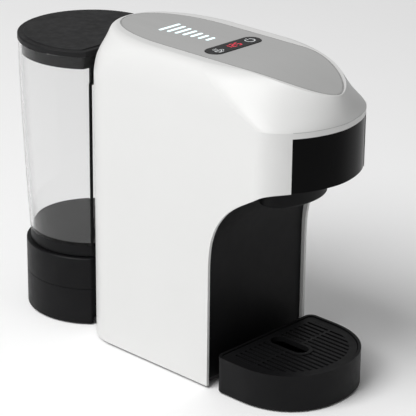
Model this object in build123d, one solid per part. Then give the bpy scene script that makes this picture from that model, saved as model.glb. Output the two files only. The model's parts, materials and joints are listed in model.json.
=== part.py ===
from build123d import *
import os
from math import copysign, cos, pi, sin, sqrt

# A capsule coffee machine: slim white housing, drip tray in front, clear water tank behind.
# X is right seen from the front, -Y is the front, +Z is up; the floor is z = 0. Millimetres.

# Housing
BODY_HALF_W = 59.0
HEAD_CENTRE_Y = -130.2
HEAD_DEPTH = 36.9
HEAD_BULGE = 1.8
FRONT_Y = HEAD_CENTRE_Y - HEAD_DEPTH
REAR_Y = 69.5
REAR_CORNER_R = 38.0
SHELL_BOTTOM_Z = 2.5
LIP_Z = 233.0
RECESS_Z = 244.0
ROLL_Y = -94.0
SHOULDER_Z = 242.0
TOP_Z = 269.6
FLAT_HALF_W = 45.7
WALL = 2.5
ROOF = 5.0
REAR_PULL = 0.19
HEAD_STEPS = 14
CORNER_STEPS = 8

# Column and brewing head
COLUMN_Y = -82.5
THROAT_Z = 100.0
HEAD_FLOOR_Z = 184.0
SEAM_HALF_W = 43.0
SEAM_Y = -153.2
COVER_INSET = 3.0
COVER_THICKNESS = 2.5
COVER_FRONT_Y = -146.0
COVER_TOP_Z = 228.3

# Capsule drawer
CUP_Y = -118.0
RING_HALF_W = 34.0
RING_HALF_D = 20.0
RING_BOTTOM_Z = 161.0
RING_WALL = 2.5
WELL_GAP = 3.5
CRADLE_Z = 193.5
CRADLE_THICKNESS = 3.5
CRADLE_HALF_W = 38.0
CRADLE_REAR_Y = -50.0
CUP_R = 16.8
CUP_WALL = 1.8
CUP_FLANGE_R = 20.0
CUP_FLOOR_Z = 167.0
FLANGE_THICKNESS = 2.0
PISTON_R = 15.5
PISTON_GAP = 1.0
STEM_R = 6.0
RUNNING_CLEARANCE = 0.05
RUNNER_GAP = 0.4

# Top panel
PANEL_HALF_W = 36.5
PANEL_NOSE_Y = -92.0
PANEL_FRONT_Y = -160.5
PANEL_TAIL_Y = -10.0
PANEL_REAR_Y = 64.5
PANEL_THICKNESS = 2.0
TRIM_WIDTH = 1.2
DISPLAY_Y = -51.5
DISPLAY_LENGTH = 58.0
DISPLAY_WIDTH = 17.0
DISPLAY_TOP_Z = 270.0
BAR_WIDTH = 3.0
BAR_PITCH = 7.6
BAR_FIRST_Y = 19.1
BAR_LENGTHS = (24.0, 20.5, 18.0, 15.8, 13.6, 11.6, 10.0)

# Drip tray
TRAY_HALF_W = 57.6
TRAY_CENTRE_Y = -116.2
TRAY_DEPTH = 58.1
TRAY_BULGE = 2.2
TRAY_REAR_Y = -90.5
TRAY_CORNER_R = 7.0
TRAY_BOTTOM_Z = 1.0
TRAY_FLOOR_Z = 8.0
TRAY_TOP_Z = 32.0
TRAY_WALL = 2.4
GRILLE_INSET = 3.0
GRILLE_BOTTOM_Z = 27.6
GRILLE_TOP_Z = 31.2
SLOT_PITCH = 5.45
SLOT_WIDTH = 2.5
SLOT_COUNT = 19
RIB_Y = -123.0
RIB_WIDTH = 2.2
DRAIN_LENGTH = 37.0
DRAIN_WIDTH = 14.0
DRAIN_RIM = 3.2
TONGUE_HALF_W = 36.0
TONGUE_FRONT_Y = -150.0

# Base
BASE_BOTTOM_Z = 3.0
BASE_TOP_Z = 6.5
FOOT_R = 7.0
FOOT_HEIGHT = 3.0
FOOT_PLACES = ((-49.5, -65.0), (49.5, -65.0), (-34.0, 140.0), (34.0, 140.0))
SCREW_PLACES = ((-46.0, -35.0), (46.0, -35.0), (-46.0, 35.0), (46.0, 35.0), (0.0, 150.0))

# Water tank and its stand
TANK_Y = 112.5
CHORD_Y = 71.5
STAND_R = 58.0
STAND_SEAM_Z = 33.0
STAND_TOP_Z = 61.5
STAND_WALL = 2.5
D_CORNER_R = 3.0
TANK_BASE_R = 54.3
TANK_BASE_Z = 61.9
TANK_FLOOR_Z = 72.2
TANK_TOP_Z = 241.6
TANK_BOTTOM_R = 54.7
TANK_MIDDLE_Z = 112.0
TANK_MIDDLE_R = 57.0
TANK_TOP_R = 61.8
TANK_WALL = 2.2
LID_Z = 242.0
LID_TOP_Z = 247.5
LID_R = 62.0
LID_CHORD_Y = 70.3
SKIRT_BOTTOM_Z = 231.0
TAB_BOTTOM_Z = 215.5
PORT_Y = 95.0
PORT_R = 12.0
VALVE_R = 6.0
PLUNGER_TOP_Z = 71.7
SPRING_WIRE_R = 0.45

# Water path
HOSE_R = 3.5
PUMP_R = 17.0
PUMP_Z = 62.0
FLOW_METER_Y = 40.0
FLOW_METER_R = 12.0
HEATER_TOP_Z = 178.0
HEATER_BOTTOM_Z = 122.0


def block(x_span, y_span, z_span):
    """Box from its low and high coordinate on each axis."""
    size = [high - low for low, high in (x_span, y_span, z_span)]
    middle = [(high + low) / 2 for low, high in (x_span, y_span, z_span)]
    return Pos(*middle) * Box(*size)


def rod(radius, low_z, high_z, x=0.0, y=0.0):
    """Upright cylinder between two heights."""
    return Pos(x, y, (low_z + high_z) / 2) * Cylinder(radius, high_z - low_z)


def slab(face, low_z, high_z):
    """Flat outline drawn at z = 0, raised between two heights."""
    return extrude(Pos(0, 0, low_z) * face, high_z - low_z)


def rounded_end(half_w, centre_y, depth, bulge, facing=-1):
    """Half a superellipse from one side round to the other, facing the front (-1) or the rear (1)."""
    points = []
    for step in range(HEAD_STEPS + 1):
        turn = pi * step / HEAD_STEPS
        across = cos(turn)
        along = max(sin(turn), 0.0)
        x = facing * half_w * copysign(abs(across) ** (2 / bulge), across)
        points.append((x, centre_y + facing * depth * along ** (2 / bulge)))
    return Spline(points)


def round_corner(corner_x, corner_y, reach_x, reach_y, side):
    """Quarter ellipse at a rear corner, run from the right side to the rear or on to the left side."""
    points = []
    for step in range(CORNER_STEPS + 1):
        turn = pi / 2 * step / CORNER_STEPS
        x = corner_x - reach_x * (1 - cos(turn))
        points.append((side * x, corner_y - reach_y * (1 - sin(turn))))
    return Spline(points if side > 0 else list(reversed(points)))


def outline(half_w, front_y, centre_y, rear_y, corner, bulge):
    """Outline with a rounded front, straight sides and rear corners of a given reach in x and y."""
    reach_x, reach_y = corner
    side_end = rear_y - reach_y
    rear_x = half_w - reach_x
    edges = [
        rounded_end(half_w, centre_y, centre_y - front_y, bulge),
        Line((half_w, centre_y), (half_w, side_end)),
        round_corner(half_w, rear_y, reach_x, reach_y, 1),
        Line((rear_x, rear_y), (-rear_x, rear_y)),
        round_corner(half_w, rear_y, reach_x, reach_y, -1),
        Line((-half_w, side_end), (-half_w, centre_y)),
    ]
    return make_face(Curve() + edges)


def body_outline(inset):
    """Plan of the housing, drawn inwards by an inset."""
    half_w = BODY_HALF_W - inset
    reach = REAR_CORNER_R - inset
    return outline(half_w, FRONT_Y + inset, HEAD_CENTRE_Y, REAR_Y - inset, (reach, reach), HEAD_BULGE)


def shoulder_half_width(z):
    """Half width of the housing in its rounded shoulder."""
    rise = max(z - SHOULDER_Z, 0.0) / (TOP_Z - SHOULDER_Z)
    return FLAT_HALF_W + (BODY_HALF_W - FLAT_HALF_W) * sqrt(1 - rise ** 2)


def crown_section(z, front_y, centre_y, bulge, corner, inset, drop):
    """Level section of the rounded top, from its front, drawn in and lowered."""
    half_w = shoulder_half_width(z)
    rear_pull = (BODY_HALF_W - half_w) * REAR_PULL
    reach = (corner[0] - inset, corner[1] - inset)
    face = outline(half_w - inset, front_y + inset, centre_y, REAR_Y - rear_pull - inset, reach, bulge)
    return Pos(0, 0, z - drop) * face


def roof_profile(drop):
    """Side view of everything below the roof line, which rolls down over the nose."""
    top_z = TOP_Z - drop
    far_y = REAR_Y + 10.0
    tip_y = FRONT_Y - 14.0
    low_z = LIP_Z - 20.0
    fall = [(-147.0, 8.9), (-162.0, 14.0), (tip_y, 20.8)]
    points = [(ROLL_Y, top_z), (-112.0, top_z - 1.1), (-129.0, top_z - 4.0)]
    points += [(y, top_z - depth) for y, depth in fall]
    edges = [
        Line((far_y, top_z), (ROLL_Y, top_z)),
        Spline(points, tangents=[(-1, 0), (-1, -0.39)]),
        Line((tip_y, top_z - 20.8), (tip_y, low_z)),
        Line((tip_y, low_z), (far_y, low_z)),
        Line((far_y, low_z), (far_y, top_z)),
    ]
    return Plane.YZ * make_face(Curve() + edges)


def crown(inset, drop):
    """Rounded top of the housing: stacked level sections cut off by the roof line."""
    sections = [
        crown_section(LIP_Z, FRONT_Y, HEAD_CENTRE_Y, HEAD_BULGE, (38.0, 38.0), inset, drop),
        crown_section(237.0, -166.5, -123.5, 1.75, (38.6, 38.6), inset, drop),
        crown_section(241.0, -165.6, -114.5, 1.7, (40.0, 40.0), inset, drop),
        crown_section(249.0, -164.0, -98.0, 1.63, (44.0, 44.0), inset, drop),
        crown_section(257.0, -162.0, -84.0, 1.6, (49.5, 52.0), inset, drop),
        crown_section(264.0, -159.0, -72.0, 1.6, (49.0, 63.0), inset, drop),
        crown_section(TOP_Z, -156.0, -62.0, 1.6, (43.5, 77.0), inset, drop),
    ]
    return loft(sections) & extrude(roof_profile(drop), 70.0, both=True)


def body_solid():
    """Whole outer form of the housing, filled."""
    return slab(body_outline(0.0), SHELL_BOTTOM_Z, LIP_Z) + crown(0.0, 0.0)


def cavity_solid(inset=WALL, drop=ROOF, low_z=-5.0):
    """Inner form of the housing, open below."""
    return slab(body_outline(inset), low_z, LIP_Z - drop) + crown(inset, drop)


def front_void(grow):
    """Open space before the column and under the head, pushed back and up by an amount."""
    far_y = FRONT_Y - 60.0
    low_z = -40.0
    throat_points = [(COLUMN_Y, THROAT_Z), (-89.5, 141.0), (-105.5, 161.0), (-129.0, 176.0), (SEAM_Y, HEAD_FLOOR_Z)]
    throat = Spline(throat_points, tangents=[(0, 1), (-1, 0.08)])
    edges = [
        Line((COLUMN_Y, low_z), (COLUMN_Y, THROAT_Z)),
        throat,
        Line((SEAM_Y, HEAD_FLOOR_Z), (far_y, HEAD_FLOOR_Z)),
        Line((far_y, HEAD_FLOOR_Z), (far_y, low_z)),
        Line((far_y, low_z), (COLUMN_Y, low_z)),
    ]
    side = Plane.YZ * make_face(Curve() + edges)
    return Pos(0, grow, grow) * extrude(side, 80.0, both=True)


def well_outline(half_w, half_d):
    """Plan of the slot the outlet ring runs in: round at the rear, open to the front."""
    rear = Pos(0, CUP_Y) * Ellipse(half_w, half_d)
    run = Pos(0, CUP_Y - 40.0) * Rectangle(2 * half_w, 80.0)
    return rear + run


def panel_outline(grow):
    """Plan of the top panel: a long narrowing nose and a rounded tail."""
    half_w = PANEL_HALF_W + grow
    nose_depth = PANEL_NOSE_Y - PANEL_FRONT_Y + grow
    tail_depth = PANEL_REAR_Y - PANEL_TAIL_Y + grow
    edges = [
        rounded_end(half_w, PANEL_NOSE_Y, nose_depth, 1.7),
        Line((half_w, PANEL_NOSE_Y), (half_w, PANEL_TAIL_Y)),
        rounded_end(half_w, PANEL_TAIL_Y, tail_depth, 2.15, 1),
        Line((-half_w, PANEL_TAIL_Y), (-half_w, PANEL_NOSE_Y)),
    ]
    return make_face(Curve() + edges)


def skin_layer(face, depth):
    """Part of the housing's outer skin that lies under an outline, to a depth."""
    column = slab(face, RECESS_Z, TOP_Z + 5.0)
    return (column & crown(0.0, 0.0)) - crown(0.0, depth)


def display_hole(grow, low_z, high_z):
    """Stadium prism at the display's place."""
    face = Pos(0, DISPLAY_Y) * SlotOverall(DISPLAY_LENGTH + 2 * grow, DISPLAY_WIDTH + 2 * grow)
    return slab(face, low_z, high_z)


def bar_prisms(grow, low_z, high_z):
    """The row of indicator bars, shorter towards the display."""
    bars = []
    for place, length in enumerate(BAR_LENGTHS):
        face = SlotOverall(length + 2 * grow, BAR_WIDTH + 2 * grow)
        bars.append(slab(Pos(0, BAR_FIRST_Y - BAR_PITCH * place) * face, low_z, high_z))
    return bars


def make_main_housing():
    shell = body_solid() - cavity_solid()
    shell -= front_void(0.0)
    shell -= block((-SEAM_HALF_W, SEAM_HALF_W), (-200.0, -146.0), (HEAD_FLOOR_Z - 2.0, COVER_TOP_Z))
    recess = slab(panel_outline(TRIM_WIDTH + 0.2), RECESS_Z, TOP_Z + 5.0)
    shell -= recess - crown(0.0, PANEL_THICKNESS + 0.1)
    shell -= block((-24.0, 24.0), (DISPLAY_Y - 6.0, DISPLAY_Y + 6.0), (TOP_Z - 12.0, TOP_Z + 5.0))
    hose_hole = Pos(0, REAR_Y, 22.0) * Rot(90, 0, 0) * Cylinder(HOSE_R + 1.5, 12.0)
    neck_notch = block((-39.0, 39.0), (REAR_Y - 12.0, REAR_Y + 4.0), (0.0, BASE_TOP_Z + 1.0))
    return shell - hose_hole - neck_notch


def make_top_panel():
    panel = skin_layer(panel_outline(0.0), PANEL_THICKNESS)
    panel -= display_hole(0.2, RECESS_Z, TOP_Z + 5.0)
    for bar in bar_prisms(0.1, RECESS_Z, TOP_Z + 5.0):
        panel -= bar
    return panel


def make_panel_trim():
    ring = skin_layer(panel_outline(TRIM_WIDTH), PANEL_THICKNESS)
    return ring - slab(panel_outline(0.15), RECESS_Z - 2.0, TOP_Z + 6.0)


def make_display_window():
    window = display_hole(0.0, TOP_Z - PANEL_THICKNESS, DISPLAY_TOP_Z)
    return chamfer(window.edges().group_by(Axis.Z)[-1], 0.3)


def make_led_bars():
    return Compound(bar_prisms(0.0, TOP_Z - PANEL_THICKNESS, TOP_Z + 0.1))


def make_display_module():
    digits = block((-22.0, 22.0), (DISPLAY_Y - 5.0, DISPLAY_Y + 5.0), (TOP_Z - 11.5, TOP_Z - PANEL_THICKNESS - 0.2))
    return chamfer(digits.edges().filter_by(Axis.Z), 1.0)


def make_control_board():
    board = block((-30.0, 30.0), (-74.0, 44.0), (TOP_Z - 13.6, TOP_Z - 12.0))
    for corner_x in (-26.0, 26.0):
        for corner_y in (-70.0, 40.0):
            board -= rod(1.6, TOP_Z - 20.0, TOP_Z, corner_x, corner_y)
    return board


def make_board_posts():
    posts = []
    for corner_x in (-26.0, 26.0):
        for corner_y in (-70.0, 40.0):
            post = rod(3.2, TOP_Z - 12.0, TOP_Z - ROOF, corner_x, corner_y)
            posts.append(post + rod(1.5, TOP_Z - 15.0, TOP_Z - 12.0, corner_x, corner_y))
    return Compound(posts)


def make_column_cover():
    inner = cavity_solid(WALL + 0.6, ROOF, BASE_TOP_Z + 0.1)
    sheet = front_void(COVER_INSET + COVER_THICKNESS) - front_void(COVER_INSET)
    cover = sheet & inner
    cover &= block((-80.0, 80.0), (COVER_FRONT_Y, 0.0), (SHELL_BOTTOM_Z, 194.0))
    well = well_outline(RING_HALF_W + WELL_GAP, RING_HALF_D + WELL_GAP)
    return cover - slab(well, 120.0, 210.0)


def make_well_liner():
    outer = well_outline(RING_HALF_W + WELL_GAP - 0.2, RING_HALF_D + WELL_GAP - 0.2)
    inner = well_outline(RING_HALF_W + 1.4, RING_HALF_D + 1.4)
    wall = slab(outer, 120.0, 190.5) - slab(inner, 110.0, 200.0)
    wall -= front_void(COVER_INSET - 0.4)
    return wall & block((-60.0, 60.0), (COVER_FRONT_Y, 0.0), (100.0, 200.0))


def make_runner(side):
    """Fixed channel that a side of the cradle slides in."""
    inner_x = CRADLE_HALF_W + RUNNER_GAP
    low_z = CRADLE_Z - RUNNER_GAP
    high_z = CRADLE_Z + CRADLE_THICKNESS + RUNNER_GAP
    wall = block((inner_x, inner_x + 3.0), (-140.0, -48.0), (low_z - 2.0, high_z + 2.0))
    lips = block((inner_x - 4.0, inner_x + 1.0), (-140.0, -48.0), (low_z - 2.0, low_z))
    lips += block((inner_x - 4.0, inner_x + 1.0), (-140.0, -48.0), (high_z, high_z + 2.0))
    runner = wall + lips
    return runner if side > 0 else mirror(runner, about=Plane.YZ)


def make_drawer_front():
    ring = slab(body_outline(0.5), HEAD_FLOOR_Z + 0.5, COVER_TOP_Z - 0.6)
    ring -= slab(body_outline(3.5), HEAD_FLOOR_Z, COVER_TOP_Z)
    front = ring & block((-SEAM_HALF_W + 0.5, SEAM_HALF_W - 0.5), (-200.0, -147.0), (150.0, 240.0))
    band = slab(body_outline(3.0), CRADLE_Z + 0.1, CRADLE_Z + 12.0)
    band -= slab(body_outline(5.8), 150.0, 240.0)
    return front + (band & block((-30.0, 30.0), (-200.0, -140.0), (150.0, 240.0)))


def make_drawer_cradle():
    high_z = CRADLE_Z + CRADLE_THICKNESS
    deck = block((-CRADLE_HALF_W, CRADLE_HALF_W), (FRONT_Y, CRADLE_REAR_Y), (CRADLE_Z, high_z))
    deck &= slab(body_outline(6.0), 180.0, 210.0)
    deck -= rod(CUP_R + 0.3, 150.0, 220.0, 0.0, CUP_Y)
    deck -= block((-30.0, 30.0), (-88.0, CRADLE_REAR_Y + 8.0), (150.0, 220.0))
    return deck


def make_drawer_apron():
    plate = slab(well_outline(RING_HALF_W, RING_HALF_D), HEAD_FLOOR_Z + 0.5, HEAD_FLOOR_Z + 3.0)
    plate &= slab(body_outline(3.7), 150.0, 240.0)
    stem = Pos(0, CUP_Y) * Ellipse(RING_HALF_W - RING_WALL - 0.1, RING_HALF_D - RING_WALL - 0.1)
    plate -= slab(stem, 150.0, 220.0)
    for side in (-1, 1):
        plate += block((side * 29.0 - 2.0, side * 29.0 + 2.0), (-152.0, -136.0), (HEAD_FLOOR_Z + 2.0, CRADLE_Z))
    return plate


def make_outlet_ring():
    outer = slab(Pos(0, CUP_Y) * Ellipse(RING_HALF_W, RING_HALF_D), RING_BOTTOM_Z, HEAD_FLOOR_Z + 0.5)
    outer = fillet(outer.edges().group_by(Axis.Z)[0], 2.2)
    bore = Ellipse(RING_HALF_W - RING_WALL, RING_HALF_D - RING_WALL)
    ring = outer - slab(Pos(0, CUP_Y) * bore, RING_BOTTOM_Z + 2.5, 220.0)
    return ring - rod(9.0, 150.0, 170.0, 0.0, CUP_Y)


def make_pod_cup():
    seat_z = CRADLE_Z + CRADLE_THICKNESS
    cup = rod(CUP_R, CUP_FLOOR_Z, seat_z + FLANGE_THICKNESS, 0.0, CUP_Y)
    cup += rod(CUP_FLANGE_R, seat_z, seat_z + FLANGE_THICKNESS, 0.0, CUP_Y)
    cup -= rod(CUP_R - CUP_WALL, CUP_FLOOR_Z + 2.0, 220.0, 0.0, CUP_Y)
    return cup - rod(2.2, 150.0, 200.0, 0.0, CUP_Y)


def make_outlet_nozzle():
    nozzle = rod(7.0, RING_BOTTOM_Z + 0.4, CUP_FLOOR_Z, 0.0, CUP_Y)
    nozzle = chamfer(nozzle.edges().group_by(Axis.Z)[0], 1.5)
    return nozzle - rod(2.2, 150.0, 200.0, 0.0, CUP_Y)


def piston_bottom():
    return CRADLE_Z + CRADLE_THICKNESS + FLANGE_THICKNESS + PISTON_GAP


def make_brew_piston():
    low = piston_bottom() + 2.0
    piston = rod(PISTON_R, low, low + 5.0, 0.0, CUP_Y)
    return piston + rod(STEM_R, low, 238.0, 0.0, CUP_Y)


def make_shower_screen():
    low = piston_bottom()
    plate = rod(PISTON_R - 2.5, low, low + 1.9, 0.0, CUP_Y)
    for place in PolarLocations(8.0, 8):
        plate -= Pos(0, CUP_Y, low) * place * Cylinder(0.9, 8.0)
    return plate


def make_piston_seal():
    low = piston_bottom()
    return rod(PISTON_R, low, low + 1.9, 0.0, CUP_Y) - rod(PISTON_R - 2.4, low - 1.0, low + 4.0, 0.0, CUP_Y)


def make_brew_head():
    head = block((-24.0, 24.0), (CUP_Y - 22.0, CUP_Y + 25.0), (214.5, 247.0))
    head = chamfer(head.edges().filter_by(Axis.Z), 5.0)
    head -= rod(STEM_R + RUNNING_CLEARANCE, 200.0, 245.0, 0.0, CUP_Y)
    return head


def make_base_plate():
    body = slab(body_outline(WALL + 0.3), BASE_BOTTOM_Z, BASE_TOP_Z)
    body &= block((-80.0, 80.0), (-78.0, 80.0), (0.0, 20.0))
    tongue = block((-TONGUE_HALF_W, TONGUE_HALF_W), (TONGUE_FRONT_Y, -70.0), (BASE_BOTTOM_Z, BASE_TOP_Z))
    neck = block((-38.0, 38.0), (60.0, 90.0), (BASE_BOTTOM_Z, BASE_TOP_Z))
    pan = slab(d_outline(STAND_R - STAND_WALL - 0.3, CHORD_Y + STAND_WALL + 0.3), BASE_BOTTOM_Z, BASE_TOP_Z)
    plate = body + fillet(tongue.edges().filter_by(Axis.Z), 6.0) + neck + pan
    for x, y in SCREW_PLACES:
        plate -= rod(1.8, 0.0, 20.0, x, y)
    return plate


def make_feet():
    feet = []
    for x, y in FOOT_PLACES:
        foot = rod(FOOT_R, 0.0, FOOT_HEIGHT, x, y)
        feet.append(chamfer(foot.edges().group_by(Axis.Z)[0], 0.8))
    return Compound(feet)


def make_base_screws():
    screws = []
    for x, y in SCREW_PLACES:
        screws.append(rod(3.2, BASE_BOTTOM_Z - 1.6, BASE_BOTTOM_Z, x, y) + rod(1.7, BASE_BOTTOM_Z - 0.5, 14.0, x, y))
    return Compound(screws)


def d_outline(radius, chord_y, corner_r=D_CORNER_R):
    """Round outline cut by a flat on the side that faces the housing."""
    disc = Pos(0, TANK_Y) * Circle(radius)
    keep = Pos(0, chord_y + radius) * Rectangle(4 * radius, 2 * radius)
    face = disc & keep
    corners = face.vertices().group_by(Axis.Y)[0]
    return fillet(corners, corner_r)


def make_stand_lower():
    wall = slab(d_outline(STAND_R, CHORD_Y), TRAY_BOTTOM_Z + 0.5, STAND_SEAM_Z)
    wall -= slab(d_outline(STAND_R - STAND_WALL, CHORD_Y + STAND_WALL), 0.0, STAND_SEAM_Z + 5.0)
    wall -= block((-39.0, 39.0), (CHORD_Y - 3.0, CHORD_Y + 6.0), (0.0, BASE_TOP_Z + 1.0))
    wall -= Pos(0, CHORD_Y, 22.0) * Rot(90, 0, 0) * Cylinder(HOSE_R + 1.5, 12.0)
    return wall - Pos(0, TANK_Y + STAND_R, 16.0) * Rot(90, 0, 0) * Cylinder(4.6, 20.0)


def make_stand_upper():
    cap = slab(d_outline(STAND_R, CHORD_Y), STAND_SEAM_Z + 0.4, STAND_TOP_Z)
    cap = chamfer(cap.edges().group_by(Axis.Z)[-1], 0.8)
    cap -= slab(d_outline(STAND_R - STAND_WALL, CHORD_Y + STAND_WALL), 0.0, STAND_TOP_Z - 3.0)
    return cap - rod(PORT_R + 0.1, 0.0, 80.0, 0.0, PORT_Y)


def make_dock_port():
    port = rod(PORT_R, 50.0, STAND_TOP_Z - 0.2, 0.0, PORT_Y)
    port -= rod(PORT_R - 2.0, 54.0, 80.0, 0.0, PORT_Y)
    port += rod(2.4, 52.0, TANK_BASE_Z + 1.3, 0.0, PORT_Y)
    flange = rod(PORT_R + 3.0, STAND_TOP_Z - 5.5, STAND_TOP_Z - 3.0, 0.0, PORT_Y)
    return port + (flange - rod(PORT_R - 1.0, 50.0, 70.0, 0.0, PORT_Y))


def make_dock_seal():
    return rod(9.8, 54.0, STAND_TOP_Z, 0.0, PORT_Y) - rod(7.6, 50.0, 70.0, 0.0, PORT_Y)


def make_cord_gland():
    gland = Pos(0, TANK_Y + STAND_R - 1.0, 16.0) * Rot(90, 0, 0) * Cylinder(6.5, 8.0)
    neck = Pos(0, TANK_Y + STAND_R - 1.25, 16.0) * Rot(90, 0, 0) * Cylinder(4.5, 9.5)
    rim = gland & block((-20.0, 20.0), (TANK_Y + STAND_R + 0.2, 200.0), (0.0, 40.0))
    nut = gland & block((-20.0, 20.0), (100.0, TANK_Y + STAND_R - STAND_WALL - 0.4), (0.0, 40.0))
    return rim + neck + nut - Pos(0, TANK_Y + STAND_R, 16.0) * Rot(90, 0, 0) * Cylinder(3.0, 30.0)


def tank_form(inset, low_z, high_z):
    """Tapered D form of the clear tank, drawn in by the wall."""
    low = Pos(0, 0, low_z) * d_outline(TANK_BOTTOM_R - inset, CHORD_Y + inset)
    middle = Pos(0, 0, TANK_MIDDLE_Z) * d_outline(TANK_MIDDLE_R - inset, CHORD_Y + inset)
    high = Pos(0, 0, high_z) * d_outline(TANK_TOP_R - inset, CHORD_Y + inset)
    return loft([low, middle, high])


def make_tank_body():
    tank = tank_form(0.0, TANK_FLOOR_Z, TANK_TOP_Z)
    tank -= tank_form(TANK_WALL, TANK_FLOOR_Z + TANK_WALL, TANK_TOP_Z + 0.01)
    return tank - rod(VALVE_R + 2.5, 50.0, 80.0, 0.0, PORT_Y)


def make_tank_base():
    base = slab(d_outline(TANK_BASE_R, CHORD_Y), TANK_BASE_Z, TANK_FLOOR_Z - 0.1)
    base = chamfer(base.edges().group_by(Axis.Z)[0], 0.8)
    base -= slab(d_outline(TANK_BASE_R - 3.0, CHORD_Y + 3.0), TANK_BASE_Z - 1.0, TANK_FLOOR_Z - 3.0)
    boss = rod(VALVE_R + 3.0, TANK_BASE_Z, TANK_FLOOR_Z - 0.1, 0.0, PORT_Y)
    rest = slab(d_outline(TANK_BASE_R - 2.9, CHORD_Y + 2.9), TANK_BASE_Z + 0.1, TANK_FLOOR_Z - 2.9)
    ribs = rest & (block((-60.0, 60.0), (TANK_Y + 6.0, TANK_Y + 9.0), (0.0, 90.0)))
    ribs += rest & block((-30.0, -27.0), (0.0, 200.0), (0.0, 90.0))
    ribs += rest & block((27.0, 30.0), (0.0, 200.0), (0.0, 90.0))
    return base + boss + ribs - rod(VALVE_R + RUNNING_CLEARANCE, 50.0, 90.0, 0.0, PORT_Y)


def make_valve_plunger():
    low = TANK_BASE_Z + 1.6
    plunger = rod(VALVE_R, low, PLUNGER_TOP_Z, 0.0, PORT_Y)
    return chamfer(plunger.edges().group_by(Axis.Z)[0], 0.6)


def make_valve_spring():
    coil = Helix(pitch=2.5, height=10.0, radius=3.8)
    section = Plane(origin=coil @ 0, z_dir=coil % 0) * Circle(SPRING_WIRE_R)
    spring = sweep(section, path=coil, is_frenet=True)
    return Pos(0, PORT_Y, PLUNGER_TOP_Z + SPRING_WIRE_R + 0.05) * spring


def make_tank_filter():
    low = TANK_FLOOR_Z + TANK_WALL + 0.1
    dome = rod(VALVE_R + 5.0, low, low + 10.5, 0.0, PORT_Y)
    dome = fillet(dome.edges().group_by(Axis.Z)[-1], 2.5)
    dome -= rod(VALVE_R + 0.8, low - 5.0, low + 8.5, 0.0, PORT_Y)
    for place in PolarLocations(VALVE_R + 3.0, 12):
        slit = Pos(0, PORT_Y, low + 5.0) * place * Box(8.0, 1.2, 5.0)
        dome -= slit
    return dome


def make_tank_lid():
    plate = slab(d_outline(LID_R, LID_CHORD_Y), LID_Z, LID_TOP_Z - 0.8)
    top_edges = plate.edges().group_by(Axis.Z)[-1]
    plate = fillet(top_edges, 1.2)
    disc = slab(d_outline(LID_R - 5.0, LID_CHORD_Y + 5.0), LID_TOP_Z - 1.0, LID_TOP_Z)
    disc = chamfer(disc.edges().group_by(Axis.Z)[-1], 0.7)
    return plate + disc


def make_lid_skirt():
    outer_r = TANK_TOP_R - TANK_WALL - 1.0
    chord = CHORD_Y + TANK_WALL + 0.6
    skirt = slab(d_outline(outer_r, chord), SKIRT_BOTTOM_Z, LID_Z)
    skirt -= slab(d_outline(outer_r - 2.0, chord + 2.0), 200.0, LID_Z + 1.0)
    tab = block((-37.0, 37.0), (chord, chord + 2.0), (TAB_BOTTOM_Z, LID_Z))
    return skirt + tab


def tray_outline(inset):
    """Plan of the drip tray, drawn inwards by an inset."""
    half_w = TRAY_HALF_W - inset
    front_y = TRAY_CENTRE_Y - TRAY_DEPTH + inset
    reach = max(TRAY_CORNER_R - inset, 2.0)
    return outline(half_w, front_y, TRAY_CENTRE_Y, TRAY_REAR_Y - inset, (reach, reach), TRAY_BULGE)


def make_drip_tray():
    tray = slab(tray_outline(0.0), TRAY_BOTTOM_Z, TRAY_TOP_Z)
    tray = chamfer(tray.edges().group_by(Axis.Z)[0], 0.8)
    tray -= slab(tray_outline(TRAY_WALL + 1.8), TRAY_FLOOR_Z + 2.0, TRAY_TOP_Z + 5.0)
    tray -= slab(tray_outline(TRAY_WALL), GRILLE_BOTTOM_Z - 0.2, TRAY_TOP_Z + 5.0)
    tray -= slab(tray_outline(TRAY_WALL), -5.0, TRAY_FLOOR_Z)
    notch = block((-TONGUE_HALF_W - 1.0, TONGUE_HALF_W + 1.0), (-100.0, -80.0), (-5.0, TRAY_FLOOR_Z - 0.5))
    return tray - notch


def make_drip_grille():
    plate = slab(tray_outline(GRILLE_INSET), GRILLE_BOTTOM_Z, GRILLE_TOP_Z)
    field = slab(tray_outline(GRILLE_INSET + 6.5), 0.0, 50.0)
    rim = Pos(0, CUP_Y - 0.5) * Rot(0, 0, 90) * SlotOverall(DRAIN_LENGTH + 2 * DRAIN_RIM, DRAIN_WIDTH + 2 * DRAIN_RIM)
    drain = Pos(0, CUP_Y - 0.5) * Rot(0, 0, 90) * SlotOverall(DRAIN_LENGTH, DRAIN_WIDTH)
    for place in range(SLOT_COUNT):
        x = (place - (SLOT_COUNT - 1) / 2) * SLOT_PITCH
        slot = block((x - SLOT_WIDTH / 2, x + SLOT_WIDTH / 2), (-180.0, -80.0), (20.0, 40.0)) & field
        slot -= block((-80.0, 80.0), (RIB_Y - RIB_WIDTH / 2, RIB_Y + RIB_WIDTH / 2), (0.0, 60.0))
        slot -= slab(rim, 0.0, 60.0)
        plate -= slot
    plate += slab(rim, GRILLE_BOTTOM_Z, GRILLE_TOP_Z + 0.6)
    return plate - slab(drain, 0.0, 60.0)


def make_water_pump():
    coil = block((-20.0, 20.0), (-14.0, 16.0), (PUMP_Z - 20.0, PUMP_Z + 20.0))
    coil = chamfer(coil.edges().filter_by(Axis.Y), 4.0)
    barrel = Pos(0, -4.0, PUMP_Z) * Rot(90, 0, 0) * Cylinder(PUMP_R - 5.0, 64.0)
    inlet = Pos(0, 31.0, PUMP_Z) * Rot(90, 0, 0) * Cylinder(5.0, 8.0)
    return coil + barrel + inlet


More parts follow.
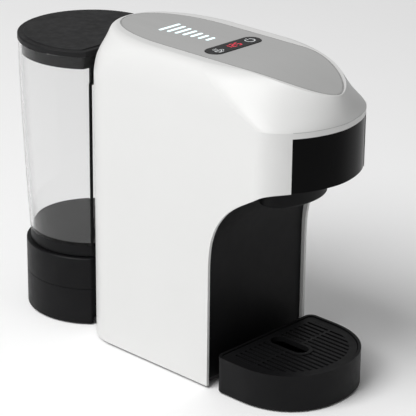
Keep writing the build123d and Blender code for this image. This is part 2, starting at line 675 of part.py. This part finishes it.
def make_pump_mounts():
    mounts = []
    for y in (-26.0, 23.0):
        ring = Pos(0, y, PUMP_Z) * Rot(90, 0, 0) * Cylinder(PUMP_R, 6.0)
        ring += block((-7.0, 7.0), (y - 3.0, y + 3.0), (BASE_TOP_Z, PUMP_Z))
        mounts.append(ring - Pos(0, y, PUMP_Z) * Rot(90, 0, 0) * Cylinder(PUMP_R - 4.95, 20.0))
    return Compound(mounts)


def make_flow_meter():
    meter = rod(FLOW_METER_R, 14.0, 30.0, 0.0, FLOW_METER_Y)
    meter = fillet(meter.edges().group_by(Axis.Z)[-1], 2.0)
    legs = rod(3.0, BASE_TOP_Z, 15.0, -7.0, FLOW_METER_Y) + rod(3.0, BASE_TOP_Z, 15.0, 7.0, FLOW_METER_Y)
    return meter + legs


def tube(points, bend_r, radius):
    """Round tube along straight runs joined by arcs."""
    path = FilletPolyline(*points, radius=bend_r)
    section = Plane(origin=path @ 0, z_dir=path % 0) * Circle(radius)
    return sweep(section, path=path)


def make_feed_hose():
    rear_end = FLOW_METER_Y + FLOW_METER_R
    return tube([(0, PORT_Y, 50.0), (0, PORT_Y, 22.0), (0, rear_end, 22.0)], 12.0, HOSE_R)


def make_pump_hose():
    return tube([(0, FLOW_METER_Y, 30.0), (0, FLOW_METER_Y, PUMP_Z), (0, 35.0, PUMP_Z)], 4.0, HOSE_R - 0.8)


def make_pressure_hose():
    return tube([(0, -36.0, PUMP_Z), (0, -52.0, PUMP_Z), (0, -52.0, HEATER_BOTTOM_Z)], 10.0, HOSE_R - 0.5)


def make_hot_hose():
    points = [(0, -20.0, HEATER_TOP_Z), (0, -20.0, 230.0), (0, CUP_Y + 25.0, 230.0)]
    return tube(points, 16.0, HOSE_R - 0.5)


def make_thermoblock():
    heater = block((-28.0, 28.0), (-62.0, 2.0), (HEATER_BOTTOM_Z, HEATER_TOP_Z))
    heater = chamfer(heater.edges().filter_by(Axis.Z), 5.0)
    for level in range(4):
        z = HEATER_BOTTOM_Z + 10.0 + 12.0 * level
        groove = block((-40.0, 40.0), (-80.0, 20.0), (z - 1.5, z + 1.5))
        groove -= block((-25.5, 25.5), (-59.5, -0.5), (z - 5.0, z + 5.0))
        heater -= groove
    return heater


def make_heater_bracket():
    strap = block((-53.0, 53.0), (4.5, 7.0), (130.0, 170.0))
    strap += block((-53.0, -50.5), (4.5, 22.0), (130.0, 170.0))
    strap += block((50.5, 53.0), (4.5, 22.0), (130.0, 170.0))
    return strap + block((-12.0, 12.0), (2.0, 5.0), (140.0, 160.0))


def make_thermostat():
    cap = rod(7.0, HEATER_TOP_Z, HEATER_TOP_Z + 6.0, -16.0, -40.0)
    ears = block((-27.0, -5.0), (-43.0, -37.0), (HEATER_TOP_Z, HEATER_TOP_Z + 1.2))
    return cap + ears


def make_main_board():
    board = block((40.0, 41.6), (-50.0, 44.0), (24.0, 110.0))
    relay = block((32.0, 40.0), (-34.0, -18.0), (36.0, 52.0))
    choke = Pos(34.0, 8.0, 70.0) * Rot(0, 90, 0) * Cylinder(9.0, 12.0)
    return board + relay + choke


def make_board_bracket():
    rail = block((41.8, 44.0), (-50.0, 44.0), (BASE_TOP_Z, 24.0))
    return rail + block((38.0, 44.0), (-50.0, 44.0), (BASE_TOP_Z, 10.0))


NODES = {
    "main_housing": make_main_housing,
    "top_panel": make_top_panel,
    "panel_trim": make_panel_trim,
    "display_window": make_display_window,
    "display_module": make_display_module,
    "led_bars": make_led_bars,
    "control_board": make_control_board,
    "board_posts": make_board_posts,
    "column_cover": make_column_cover,
    "well_liner": make_well_liner,
    "runner_left": lambda: make_runner(-1),
    "runner_right": lambda: make_runner(1),
    "brew_head": make_brew_head,
    "brew_piston": make_brew_piston,
    "shower_screen": make_shower_screen,
    "piston_seal": make_piston_seal,
    "drawer_front": make_drawer_front,
    "drawer_cradle": make_drawer_cradle,
    "drawer_apron": make_drawer_apron,
    "outlet_ring": make_outlet_ring,
    "pod_cup": make_pod_cup,
    "outlet_nozzle": make_outlet_nozzle,
    "base_plate": make_base_plate,
    "feet": make_feet,
    "base_screws": make_base_screws,
    "stand_lower": make_stand_lower,
    "stand_upper": make_stand_upper,
    "dock_port": make_dock_port,
    "dock_seal": make_dock_seal,
    "cord_gland": make_cord_gland,
    "tank_body": make_tank_body,
    "tank_base": make_tank_base,
    "valve_plunger": make_valve_plunger,
    "valve_spring": make_valve_spring,
    "tank_filter": make_tank_filter,
    "tank_lid": make_tank_lid,
    "lid_skirt": make_lid_skirt,
    "drip_tray": make_drip_tray,
    "drip_grille": make_drip_grille,
    "water_pump": make_water_pump,
    "pump_mounts": make_pump_mounts,
    "flow_meter": make_flow_meter,
    "feed_hose": make_feed_hose,
    "pump_hose": make_pump_hose,
    "pressure_hose": make_pressure_hose,
    "hot_hose": make_hot_hose,
    "thermoblock": make_thermoblock,
    "heater_bracket": make_heater_bracket,
    "thermostat": make_thermostat,
    "main_board": make_main_board,
    "board_bracket": make_board_bracket,
}

os.makedirs("parts", exist_ok=True)
for name, make in NODES.items():
    export_step(make(), f"parts/{name}.step")
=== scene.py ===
import json
from math import cos, radians, sin

import bmesh
import bpy
from mathutils import Matrix, Vector


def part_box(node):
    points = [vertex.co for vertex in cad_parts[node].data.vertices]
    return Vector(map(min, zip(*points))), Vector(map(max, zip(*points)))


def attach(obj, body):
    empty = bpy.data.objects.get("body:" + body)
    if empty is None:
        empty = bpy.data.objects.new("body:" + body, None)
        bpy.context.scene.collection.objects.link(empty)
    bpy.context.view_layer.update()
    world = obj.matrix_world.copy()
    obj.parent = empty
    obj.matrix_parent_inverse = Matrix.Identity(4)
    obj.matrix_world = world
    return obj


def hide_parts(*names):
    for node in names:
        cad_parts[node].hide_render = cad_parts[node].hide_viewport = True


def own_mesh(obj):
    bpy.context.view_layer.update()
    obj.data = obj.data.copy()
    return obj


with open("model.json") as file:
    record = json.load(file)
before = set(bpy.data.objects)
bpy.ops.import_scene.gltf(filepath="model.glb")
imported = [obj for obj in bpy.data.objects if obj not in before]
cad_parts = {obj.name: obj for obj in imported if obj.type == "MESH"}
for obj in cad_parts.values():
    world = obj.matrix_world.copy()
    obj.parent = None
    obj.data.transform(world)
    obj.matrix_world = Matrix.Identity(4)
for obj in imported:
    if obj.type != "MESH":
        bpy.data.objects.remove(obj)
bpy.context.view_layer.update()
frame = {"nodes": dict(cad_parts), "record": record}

# Camera: a long lens from the front left, looking down
CAMERA_PLACE = Vector((-1.1354, -1.1055, 0.7538))
CAMERA_AZIMUTH = radians(-46.441)
CAMERA_PITCH = radians(21.88)
CAMERA_ROLL = radians(0.616)
CAMERA_LENS = 177.9
SENSOR_WIDTH = 36.0
CAMERA_REACH = 20.0

# Studio floor and light. The sky fades from bright to dim as a direction turns toward the dim side.
FLOOR_HALF_SIZE = 6.0
KEY_PLACE = Vector((-2.3, 0.3, 3.1))
KEY_TARGET = Vector((0.0, 0.0, 0.08))
KEY_SIZE = 2.4
KEY_POWER = 128.0
DIM_SIDE = (0.62, -0.78, 0.0)
FADE_START = -0.3
FADE_END = 0.9
SKY_BRIGHT = 0.46
SKY_DIM = 0.16

# Edge radii of the moulded parts, in metres, each with the nodes that have it
EDGE_RADII = {
    0.0006: ("drip_tray", "brew_head"),
    0.0005: ("tank_lid",),
    0.0004: ("stand_lower", "stand_upper", "drawer_front", "feet"),
    0.0003: ("drip_grille", "outlet_ring", "base_plate", "column_cover", "lid_skirt", "drawer_cradle"),
    0.0002: ("display_window", "pod_cup"),
}
EDGE_ANGLE = radians(38.0)
EDGE_SEGMENTS = 3

# Upright black strips on the rear of the housing, beside the tank, that paint the thin dark line at the
# gap between tank and housing, in metres
STRIP_OUTER_X = 0.0427
STRIP_WIDTH = 0.0032
STRIP_DEPTH = 0.0007
STRIP_SUNK = 0.0001
STRIP_EDGE = 0.0002
STRIP_LOW_Z = 0.066
STRIP_HIGH_Z = 0.2195

# Painted shade line round the front of the head where the nose meets it, a grey band that stands barely
# proud of it, in metres
HEAD_HALF_W = 0.059
HEAD_CENTRE_Y = -0.1302
HEAD_DEPTH = 0.0369
HEAD_BULGE = 1.8
NOSE_SHADE_SEAM_X = 0.0428
NOSE_SHADE_Z = 0.2329
NOSE_SHADE_HEIGHT = 0.00035
NOSE_SHADE_PROUD = 0.00008
NOSE_SHADE_SUNK = 0.0003
NOSE_SHADE_STEPS = 96

# Display marks, in metres. MARK_SUNK is the share of their height that is let into the window, and
# SIDE_MARK_AT is how far out the cup and power marks are, as a share of half the window's length.
MARK_HEIGHT = 0.00012
MARK_SUNK = 0.9
SIDE_MARK_AT = 0.66

# Digits, the first one's place in pitches from the middle, and the segments that each one lights
DIGITS = (1, 2, 5)
FIRST_DIGIT_AT = -1.1
DIGIT_PITCH = 0.0058
DIGIT_HEIGHT = 0.0064
DIGIT_WIDTH = 0.0034
DIGIT_STROKE = 0.0008
SEGMENTS = {1: "bc", 2: "abged", 5: "afgcd"}

# Cup mark, its places measured from its middle
CUP_RADIUS = 0.0032
CUP_RIM_HALF = 0.0038
CUP_RIM_Y = -0.001
CUP_STROKE = 0.0008
HANDLE_X = 0.0040
HANDLE_Y = -0.0022
HANDLE_RADIUS = 0.0013
HANDLE_START = -100
HANDLE_END = 90
STEAM_PITCH = 0.0018
STEAM_LOW_Y = 0.0006
STEAM_HIGH_Y = 0.0040
STEAM_LEAN = 0.0006
FINE_STROKE = 0.0006
SAUCER_HALF = 0.0030
SAUCER_Y = -0.0052
SAUCER_STROKE = 0.0007

# Power mark, its places measured from its middle
POWER_RADIUS = 0.0040
POWER_STROKE = 0.0010
POWER_START = 125
POWER_END = 415
POWER_BAR_LOW_Y = 0.0014
POWER_BAR_HIGH_Y = 0.0052
POWER_BAR_STROKE = 0.0009


# ---------------------------------------------------------------- materials

class Material:
    """A node material with one Principled shader and helpers that add detail to it."""

    def __init__(self, name, color, roughness, **sockets):
        self.data = bpy.data.materials.new(name)
        self.data.use_nodes = True
        self.tree = self.data.node_tree
        self.shader = self.tree.nodes["Principled BSDF"]
        self.shader.inputs["Base Color"].default_value = (*color, 1.0)
        self.shader.inputs["Roughness"].default_value = roughness
        for socket, value in sockets.items():
            self.shader.inputs[socket.replace("_", " ")].default_value = value
        self.place = self.node("ShaderNodeTexCoord").outputs["Object"]
        self.normal = None

    def node(self, kind, **values):
        made = self.tree.nodes.new(kind)
        for key, value in values.items():
            setattr(made, key, value)
        return made

    def link(self, output, target):
        self.tree.links.new(output, target)

    def noise(self, scale, detail=3.0, stretch=(1.0, 1.0, 1.0)):
        """Noise in object space, its features about 1/scale metres across."""
        mapping = self.node("ShaderNodeMapping")
        mapping.inputs["Scale"].default_value = stretch
        self.link(self.place, mapping.inputs["Vector"])
        noise = self.node("ShaderNodeTexNoise")
        noise.inputs["Scale"].default_value = scale
        noise.inputs["Detail"].default_value = detail
        self.link(mapping.outputs["Vector"], noise.inputs["Vector"])
        return noise.outputs["Fac"]

    def ramp(self, value, low, high, low_at=0.3, high_at=0.7):
        """Maps a value that runs from low_at to high_at onto the range from low to high."""
        mapped = self.node("ShaderNodeMapRange")
        mapped.inputs["From Min"].default_value = low_at
        mapped.inputs["From Max"].default_value = high_at
        mapped.inputs["To Min"].default_value = low
        mapped.inputs["To Max"].default_value = high
        self.link(value, mapped.inputs["Value"])
        return mapped.outputs["Result"]

    def vary_roughness(self, scale, low, high, stretch=(1.0, 1.0, 1.0)):
        self.link(self.ramp(self.noise(scale, 4.0, stretch), low, high), self.shader.inputs["Roughness"])
        return self

    def vary_color(self, scale, first, second, stretch=(1.0, 1.0, 1.0)):
        mix = self.node("ShaderNodeMix", data_type="RGBA")
        mix.inputs["A"].default_value = (*first, 1.0)
        mix.inputs["B"].default_value = (*second, 1.0)
        self.link(self.ramp(self.noise(scale, 3.0, stretch), 0.0, 1.0), mix.inputs["Factor"])
        self.link(mix.outputs["Result"], self.shader.inputs["Base Color"])
        return self

    def bump(self, scale, depth, strength=1.0, detail=3.0, stretch=(1.0, 1.0, 1.0)):
        """Adds a layer of surface relief, its depth in metres."""
        bump = self.node("ShaderNodeBump")
        bump.inputs["Distance"].default_value = depth
        bump.inputs["Strength"].default_value = strength
        self.link(self.noise(scale, detail, stretch), bump.inputs["Height"])
        if self.normal is not None:
            self.link(self.normal, bump.inputs["Normal"])
        self.normal = bump.outputs["Normal"]
        self.link(self.normal, self.shader.inputs["Normal"])
        return self


def white_shell():
    material = Material("white_shell", (0.67, 0.67, 0.66), 0.36, Specular_IOR_Level=0.35)
    material.vary_color(9.0, (0.665, 0.666, 0.658), (0.68, 0.68, 0.673))
    material.vary_roughness(60.0, 0.32, 0.38)
    return material.bump(1400.0, 0.00002, 0.25).bump(40.0, 0.0002, 0.03)


def grey_panel():
    material = Material("grey_panel", (0.42, 0.42, 0.415), 0.38, Metallic=0.1)
    material.vary_color(22.0, (0.41, 0.41, 0.405), (0.435, 0.435, 0.43), (1.0, 0.15, 1.0))
    material.vary_roughness(180.0, 0.30, 0.40, (1.0, 0.2, 1.0))
    return material.bump(2600.0, 0.00001, 0.3)


def light_trim():
    material = Material("light_trim", (0.34, 0.34, 0.335), 0.34)
    return material.vary_roughness(90.0, 0.24, 0.34).bump(1800.0, 0.00001, 0.2)


def display_black():
    material = Material("display_black", (0.003, 0.003, 0.0035), 0.20, Specular_IOR_Level=0.14)
    return material.vary_roughness(120.0, 0.16, 0.24)


def gloss_black():
    material = Material("gloss_black", (0.0022, 0.0022, 0.0024), 0.22, Specular_IOR_Level=0.05)
    material.vary_color(30.0, (0.0018, 0.0018, 0.002), (0.0026, 0.0026, 0.0028))
    return material.vary_roughness(70.0, 0.13, 0.20).bump(700.0, 0.00001, 0.15)


def black_satin():
    material = Material("black_satin", (0.007, 0.007, 0.0075), 0.42, Specular_IOR_Level=0.10)
    material.vary_color(25.0, (0.006, 0.006, 0.0065), (0.0085, 0.0085, 0.009))
    material.vary_roughness(140.0, 0.38, 0.48)
    return material.bump(2200.0, 0.00004, 0.5)


def black_lid():
    material = Material("black_lid", (0.013, 0.013, 0.0135), 0.45, Specular_IOR_Level=0.10)
    material.vary_color(25.0, (0.0115, 0.0115, 0.012), (0.015, 0.015, 0.0155))
    material.vary_roughness(160.0, 0.40, 0.52)
    return material.bump(1800.0, 0.00005, 0.6)


def dark_plastic():
    material = Material("dark_plastic", (0.020, 0.020, 0.021), 0.55)
    material.vary_color(40.0, (0.017, 0.017, 0.018), (0.025, 0.025, 0.026))
    return material.vary_roughness(200.0, 0.48, 0.62).bump(1500.0, 0.00005, 0.5)


def foot_rubber():
    material = Material("foot_rubber", (0.014, 0.014, 0.014), 0.78)
    return material.vary_roughness(300.0, 0.70, 0.86).bump(1200.0, 0.00008, 0.6)


def silicone():
    material = Material("silicone", (0.60, 0.58, 0.55), 0.5, Subsurface_Weight=0.1)
    return material.vary_roughness(200.0, 0.42, 0.58).bump(900.0, 0.00004, 0.4)


def clear_plastic():
    """Clear moulding that looks a little darker where it is seen edge on."""
    material = Material("clear_plastic", (0.96, 0.96, 0.96), 0.03, IOR=1.25, Transmission_Weight=1.0)
    facing = material.node("ShaderNodeLayerWeight").outputs["Facing"]
    tint = material.node("ShaderNodeMix", data_type="RGBA")
    tint.inputs["A"].default_value = (0.935, 0.935, 0.935, 1.0)
    tint.inputs["B"].default_value = (0.60, 0.60, 0.605, 1.0)
    material.link(material.ramp(facing, 0.0, 1.0, 0.55, 0.98), tint.inputs["Factor"])
    material.link(tint.outputs["Result"], material.shader.inputs["Base Color"])
    return material.vary_roughness(50.0, 0.02, 0.05)


def steel():
    material = Material("steel", (0.60, 0.60, 0.60), 0.30, Metallic=1.0)
    brushed = (1.0, 8.0, 1.0)
    material.vary_roughness(400.0, 0.24, 0.40, brushed)
    return material.bump(900.0, 0.00002, 0.3, 2.0, brushed)


def zinc_steel():
    material = Material("zinc_steel", (0.50, 0.50, 0.48), 0.38, Metallic=1.0)
    material.vary_color(120.0, (0.46, 0.46, 0.44), (0.56, 0.56, 0.54))
    return material.vary_roughness(150.0, 0.3, 0.46)


def cast_aluminium():
    material = Material("cast_aluminium", (0.58, 0.58, 0.59), 0.5, Metallic=1.0)
    return material.vary_roughness(220.0, 0.42, 0.62).bump(600.0, 0.00012, 0.7)


def pump_metal():
    material = Material("pump_metal", (0.10, 0.10, 0.11), 0.45)
    return material.vary_roughness(150.0, 0.38, 0.52).bump(1000.0, 0.00005, 0.5)


def circuit_board():
    material = Material("circuit_board", (0.02, 0.12, 0.05), 0.35, Coat_Weight=0.3)
    return material.vary_color(260.0, (0.015, 0.10, 0.04), (0.03, 0.17, 0.07)).bump(800.0, 0.00004, 0.5)


def glowing(name, color, strength):
    material = Material(name, color, 0.35, Emission_Strength=strength)
    material.shader.inputs["Emission Color"].default_value = (*color, 1.0)
    return material.vary_roughness(300.0, 0.3, 0.42)


def light_bar():
    return glowing("light_bar", (0.74, 0.93, 0.95), 0.75)


# ---------------------------------------------------------------- finishes of the CAD nodes

# Each material is named after the slot that it finishes
SLOT_MATERIALS = (
    white_shell, grey_panel, light_trim, display_black, gloss_black, black_satin,
    black_lid, dark_plastic, foot_rubber, silicone, clear_plastic, steel,
    zinc_steel, cast_aluminium, pump_metal, circuit_board, light_bar,
)
made_materials = {make.__name__: make() for make in SLOT_MATERIALS}


def paint_frame():
    """Gives every CAD node the finish its slot names."""
    for part in frame["record"]["subparts"]:
        node = frame["nodes"][part["node"]]
        node.data.materials.clear()
        node.data.materials.append(made_materials[part["material_slot"]].data)


def soften_edges():
    """Gives the moulded parts their small edge radii."""
    for width, names in EDGE_RADII.items():
        for name in names:
            bevel = frame["nodes"][name].modifiers.new("edge_radius", "BEVEL")
            bevel.width = width
            bevel.segments = EDGE_SEGMENTS
            bevel.limit_method = "ANGLE"
            bevel.angle_limit = EDGE_ANGLE
            bevel.miter_outer = "MITER_ARC"


# ---------------------------------------------------------------- mesh helpers

def new_piece(name, mesh, body, material):
    piece = bpy.data.objects.new(name, mesh)
    bpy.context.scene.collection.objects.link(piece)
    piece.data.materials.append(material.data)
    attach(piece, body)
    return piece


def raised_shapes(outlines, low_z, height):
    """Mesh of flat outlines given as lists of (x, y), raised to a small height."""
    built = bmesh.new()
    for points in outlines:
        low = [built.verts.new((x, y, low_z)) for x, y in points]
        high = [built.verts.new((x, y, low_z + height)) for x, y in points]
        built.faces.new(high)
        built.faces.new(list(reversed(low)))
        for i in range(len(points)):
            j = (i + 1) % len(points)
            built.faces.new((low[i], low[j], high[j], high[i]))
    bmesh.ops.recalc_face_normals(built, faces=built.faces)
    mesh = bpy.data.meshes.new("raised_shapes")
    built.to_mesh(mesh)
    built.free()
    return mesh


def bar_outline(start, end, width):
    """Outline of a straight stroke with pointed ends."""
    a = Vector(start)
    b = Vector(end)
    along = (b - a).normalized()
    across = Vector((-along.y, along.x)) * (width / 2)
    tip = along * (width / 2)
    points = [a, a + tip + across, b - tip + across, b, b - tip - across, a + tip - across]
    return [(p.x, p.y) for p in points]


def circle_points(centre, radius, angles):
    return [(centre[0] + radius * cos(angle), centre[1] + radius * sin(angle)) for angle in angles]


def arc_outline(centre, radius, width, start, end, steps=20):
    """Outline of a curved stroke between two angles in degrees."""
    angles = [radians(start + (end - start) * i / steps) for i in range(steps + 1)]
    outer = circle_points(centre, radius + width / 2, angles)
    inner = circle_points(centre, radius - width / 2, angles)
    return outer + list(reversed(inner))


# ---------------------------------------------------------------- display marks

def digit_outlines(number, centre_x, centre_y):
    """Strokes of one seven-segment digit."""
    w = DIGIT_WIDTH / 2
    h = DIGIT_HEIGHT / 2
    ends = {
        "a": ((-w, h), (w, h)),
        "b": ((w, 0.0), (w, h)),
        "c": ((w, -h), (w, 0.0)),
        "d": ((-w, -h), (w, -h)),
        "e": ((-w, -h), (-w, 0.0)),
        "f": ((-w, 0.0), (-w, h)),
        "g": ((-w, 0.0), (w, 0.0)),
    }
    strokes = []
    for segment in SEGMENTS[number]:
        start, end = ends[segment]
        first = (centre_x + start[0], centre_y + start[1])
        last = (centre_x + end[0], centre_y + end[1])
        strokes.append(bar_outline(first, last, DIGIT_STROKE))
    return strokes


def cup_outlines(x, y):
    """A cup with its handle, three wisps of steam and a saucer."""
    rim_y = y + CUP_RIM_Y
    saucer_y = y + SAUCER_Y
    strokes = [
        arc_outline((x, rim_y), CUP_RADIUS, CUP_STROKE, 180, 360),
        bar_outline((x - CUP_RIM_HALF, rim_y), (x + CUP_RIM_HALF, rim_y), CUP_STROKE),
        arc_outline((x + HANDLE_X, y + HANDLE_Y), HANDLE_RADIUS, FINE_STROKE, HANDLE_START, HANDLE_END),
    ]
    for steam_x in (x - STEAM_PITCH, x, x + STEAM_PITCH):
        low = (steam_x, y + STEAM_LOW_Y)
        high = (steam_x + STEAM_LEAN, y + STEAM_HIGH_Y)
        strokes.append(bar_outline(low, high, FINE_STROKE))
    strokes.append(bar_outline((x - SAUCER_HALF, saucer_y), (x + SAUCER_HALF, saucer_y), SAUCER_STROKE))
    return strokes


def power_outlines(x, y):
    """An open ring with an upright bar in its gap."""
    ring = arc_outline((x, y), POWER_RADIUS, POWER_STROKE, POWER_START, POWER_END, steps=40)
    bar = bar_outline((x, y + POWER_BAR_LOW_Y), (x, y + POWER_BAR_HIGH_Y), POWER_BAR_STROKE)
    return [ring, bar]


def make_display_marks():
    low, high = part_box("display_window")
    centre_y = (low[1] + high[1]) / 2
    side_x = (high[0] - low[0]) / 2 * SIDE_MARK_AT
    low_z = high[2] - MARK_HEIGHT * MARK_SUNK
    red = glowing("display_red", (0.80, 0.02, 0.06), 0.55)
    white = glowing("display_white", (0.62, 0.64, 0.65), 0.22)
    digits = []
    for place, number in enumerate(DIGITS):
        digits += digit_outlines(number, (place + FIRST_DIGIT_AT) * DIGIT_PITCH, centre_y)
    marks = (
        ("display_digits", digits, red),
        ("cup_mark", cup_outlines(-side_x, centre_y), white),
        ("power_mark", power_outlines(side_x, centre_y), white),
    )
    for name, outlines, material in marks:
        new_piece(name, raised_shapes(outlines, low_z, MARK_HEIGHT), "housing", material)


# ---------------------------------------------------------------- valve spring

def make_valve_coil():
    """The valve's spring, as its own copy of the CAD mesh on the valve body, with the CAD node hidden.
    """
    node = frame["nodes"]["valve_spring"]
    coil = bpy.data.objects.new("valve_coil", node.data.copy())
    bpy.context.scene.collection.objects.link(coil)
    coil.matrix_world = node.matrix_world.copy()
    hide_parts("valve_spring")
    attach(coil, "valve")
    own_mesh(coil)


# ---------------------------------------------------------------- trim on the housing

def box_mesh(name, low, high):
    built = bmesh.new()
    bmesh.ops.create_cube(built, size=1.0)
    for vertex in built.verts:
        for axis in range(3):
            vertex.co[axis] = low[axis] if vertex.co[axis] < 0 else high[axis]
    mesh = bpy.data.meshes.new(name)
    built.to_mesh(mesh)
    built.free()
    return mesh


def make_tank_dark_strips():
    """Two black strips on the rear of the housing, close to the flat side of the tank, that paint the
    thin dark line at the gap there.
    """
    rear_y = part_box("main_housing")[1][1]
    for side, tag in ((-1, "left"), (1, "right")):
        left_x, right_x = sorted((side * (STRIP_OUTER_X - STRIP_WIDTH), side * STRIP_OUTER_X))
        low = (left_x, rear_y - STRIP_SUNK, STRIP_LOW_Z)
        high = (right_x, rear_y + STRIP_DEPTH, STRIP_HIGH_Z)
        mesh = box_mesh("dark_strip", low, high)
        dark_strip = new_piece("tank_dark_strip_" + tag, mesh, "housing", made_materials["black_satin"])
        bevel = dark_strip.modifiers.new("edge_radius", "BEVEL")
        bevel.width = STRIP_EDGE
        bevel.segments = EDGE_SEGMENTS


def nose_shade_path():
    """Points round the front of the head, each with the direction that faces away from the head."""
    path = []
    for i in range(NOSE_SHADE_STEPS + 1):
        x = NOSE_SHADE_SEAM_X * (1 - 2 * i / NOSE_SHADE_STEPS)
        ratio = abs(x) / HEAD_HALF_W
        y = HEAD_CENTRE_Y - HEAD_DEPTH * (1 - ratio ** HEAD_BULGE) ** (1 / HEAD_BULGE)
        outward = Vector((x / HEAD_HALF_W ** 2, (y - HEAD_CENTRE_Y) / HEAD_DEPTH ** 2, 0.0)).normalized()
        path.append((Vector((x, y, NOSE_SHADE_Z)), outward))
    return path


def make_nose_shade_line():
    """Painted shade line: a fine grey band where the nose meets the head, from seam to seam."""
    up = Vector((0.0, 0.0, NOSE_SHADE_HEIGHT))
    built = bmesh.new()
    rows = []
    for point, outward in nose_shade_path():
        inner = point - outward * NOSE_SHADE_SUNK
        outer = point + outward * NOSE_SHADE_PROUD
        rows.append([built.verts.new(corner) for corner in (inner, outer, outer + up, inner + up)])
    for first, second in zip(rows, rows[1:]):
        for i in range(4):
            j = (i + 1) % 4
            built.faces.new((first[i], first[j], second[j], second[i]))
    built.faces.new(rows[0])
    built.faces.new(rows[-1])
    bmesh.ops.recalc_face_normals(built, faces=built.faces)
    mesh = bpy.data.meshes.new("nose_shade_line")
    built.to_mesh(mesh)
    built.free()
    # The band takes the grey panel's finish so that it paints the shade line at the nose's lower edge
    new_piece("nose_shade_line", mesh, "housing", made_materials["grey_panel"])


# ---------------------------------------------------------------- studio

def make_camera():
    data = bpy.data.cameras.new("camera")
    data.lens = CAMERA_LENS
    data.sensor_width = SENSOR_WIDTH
    data.clip_end = CAMERA_REACH
    camera = bpy.data.objects.new("camera", data)
    bpy.context.scene.collection.objects.link(camera)
    right = Vector((cos(CAMERA_AZIMUTH), sin(CAMERA_AZIMUTH), 0.0))
    level = Vector((sin(CAMERA_AZIMUTH), -cos(CAMERA_AZIMUTH), 0.0))
    back = level * cos(CAMERA_PITCH) + Vector((0.0, 0.0, sin(CAMERA_PITCH)))
    up = back.cross(right)
    rolled_right = right * cos(CAMERA_ROLL) + up * sin(CAMERA_ROLL)
    rolled_up = up * cos(CAMERA_ROLL) - right * sin(CAMERA_ROLL)
    turn = Matrix((rolled_right, rolled_up, back)).transposed()
    camera.matrix_world = Matrix.Translation(CAMERA_PLACE) @ turn.to_4x4()
    bpy.context.scene.camera = camera


def make_floor():
    built = bmesh.new()
    bmesh.ops.create_grid(built, x_segments=1, y_segments=1, size=FLOOR_HALF_SIZE)
    mesh = bpy.data.meshes.new("floor")
    built.to_mesh(mesh)
    built.free()
    floor = bpy.data.objects.new("floor", mesh)
    bpy.context.scene.collection.objects.link(floor)
    paper = Material("studio_floor", (0.96, 0.96, 0.96), 0.75, Specular_IOR_Level=0.2)
    paper.vary_roughness(8.0, 0.70, 0.80)
    floor.data.materials.append(paper.data)


def make_key_light():
    data = bpy.data.lights.new("key", "AREA")
    data.shape = "RECTANGLE"
    data.size = KEY_SIZE
    data.size_y = KEY_SIZE
    data.energy = KEY_POWER
    light = bpy.data.objects.new("key", data)
    bpy.context.scene.collection.objects.link(light)
    light.location = KEY_PLACE
    light.rotation_euler = (KEY_TARGET - KEY_PLACE).to_track_quat("-Z", "Y").to_euler()


def make_sky():
    """Soft surrounding light, weaker from the front right."""
    world = bpy.data.worlds.new("world")
    world.use_nodes = True
    tree = world.node_tree
    direction = tree.nodes.new("ShaderNodeTexCoord")
    toward = tree.nodes.new("ShaderNodeVectorMath")
    toward.operation = "DOT_PRODUCT"
    toward.inputs[1].default_value = DIM_SIDE
    tree.links.new(direction.outputs["Generated"], toward.inputs[0])
    level = tree.nodes.new("ShaderNodeMapRange")
    level.inputs["From Min"].default_value = FADE_START
    level.inputs["From Max"].default_value = FADE_END
    level.inputs["To Min"].default_value = SKY_BRIGHT
    level.inputs["To Max"].default_value = SKY_DIM
    tree.links.new(toward.outputs["Value"], level.inputs["Value"])
    background = tree.nodes["Background"]
    background.inputs["Color"].default_value = (1.0, 1.0, 1.0, 1.0)
    tree.links.new(level.outputs["Result"], background.inputs["Strength"])
    bpy.context.scene.world = world


paint_frame()
soften_edges()
make_display_marks()
make_valve_coil()
make_tank_dark_strips()
make_nose_shade_line()
make_camera()
make_floor()
make_sky()
make_key_light()
bpy.context.scene.view_settings.view_transform = "Standard"
